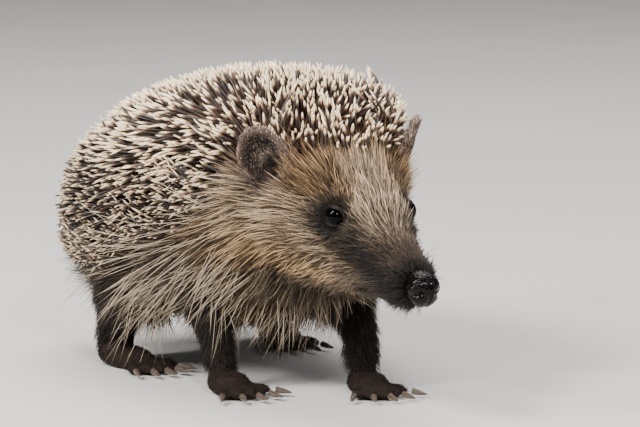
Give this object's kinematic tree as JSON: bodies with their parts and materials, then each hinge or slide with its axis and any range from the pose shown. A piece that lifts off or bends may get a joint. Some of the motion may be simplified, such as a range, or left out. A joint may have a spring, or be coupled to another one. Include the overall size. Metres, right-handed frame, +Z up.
{
  "type": "hedgehog",
  "caption": "Life-size still model of a young European hedgehog, standing with its head low, a coat of banded spines over the back and long pale fur along the flanks.",
  "frame": {"origin": "centre of the bounding box on the floor, between the feet", "axes": "+Z up, -Y the way the animal faces, +X its left side"},
  "size_m": [0.0916, 0.1768, 0.0909],
  "materials": {
    "spines": "stiff keratin spines, cream at base and tip with one dark brown band, satin",
    "pale_fur": "coarse golden brown to grey-blond guard hair, matt",
    "dark_fur": "short dark brown fur, matt",
    "bare_skin": "thinly haired grey-brown skin of the feet, matt",
    "ear_skin": "thin grey-brown skin with sparse short hair, matt",
    "nose_skin": "wet pebbled near-black skin, glossy",
    "eye": "clear wet surface over a near-black eye",
    "horn": "translucent brown horn, smooth"
  },
  "bodies": {
    "root": {"crown": "spines", "back": "spines", "rump": "spines", "head": "pale_fur", "neck": "pale_fur", "chest": "pale_fur", "shoulder_left": "pale_fur", "shoulder_right": "pale_fur", "flank_left": "pale_fur", "flank_right": "pale_fur", "haunch_left": "pale_fur", "haunch_right": "pale_fur", "muzzle": "dark_fur", "lower_jaw": "dark_fur", "belly": "dark_fur", "vent": "dark_fur", "tail": "dark_fur", "foreleg_left": "dark_fur", "foreleg_right": "dark_fur", "hindleg_left": "dark_fur", "hindleg_right": "dark_fur", "forefoot_left": "bare_skin", "forefoot_right": "bare_skin", "hindfoot_left": "bare_skin", "hindfoot_right": "bare_skin", "ear_left": "ear_skin", "ear_right": "ear_skin", "nose": "nose_skin", "eye_left": "eye", "eye_right": "eye", "claw_forefoot_left_1": "horn", "claw_forefoot_left_2": "horn", "claw_forefoot_left_3": "horn", "claw_forefoot_left_4": "horn", "claw_forefoot_left_5": "horn", "claw_forefoot_right_1": "horn", "claw_forefoot_right_2": "horn", "claw_forefoot_right_3": "horn", "claw_forefoot_right_4": "horn", "claw_forefoot_right_5": "horn", "claw_hindfoot_left_1": "horn", "claw_hindfoot_left_2": "horn", "claw_hindfoot_left_3": "horn", "claw_hindfoot_left_4": "horn", "claw_hindfoot_left_5": "horn", "claw_hindfoot_right_1": "horn", "claw_hindfoot_right_2": "horn", "claw_hindfoot_right_3": "horn", "claw_hindfoot_right_4": "horn", "claw_hindfoot_right_5": "horn"}
  },
  "joints": []
}
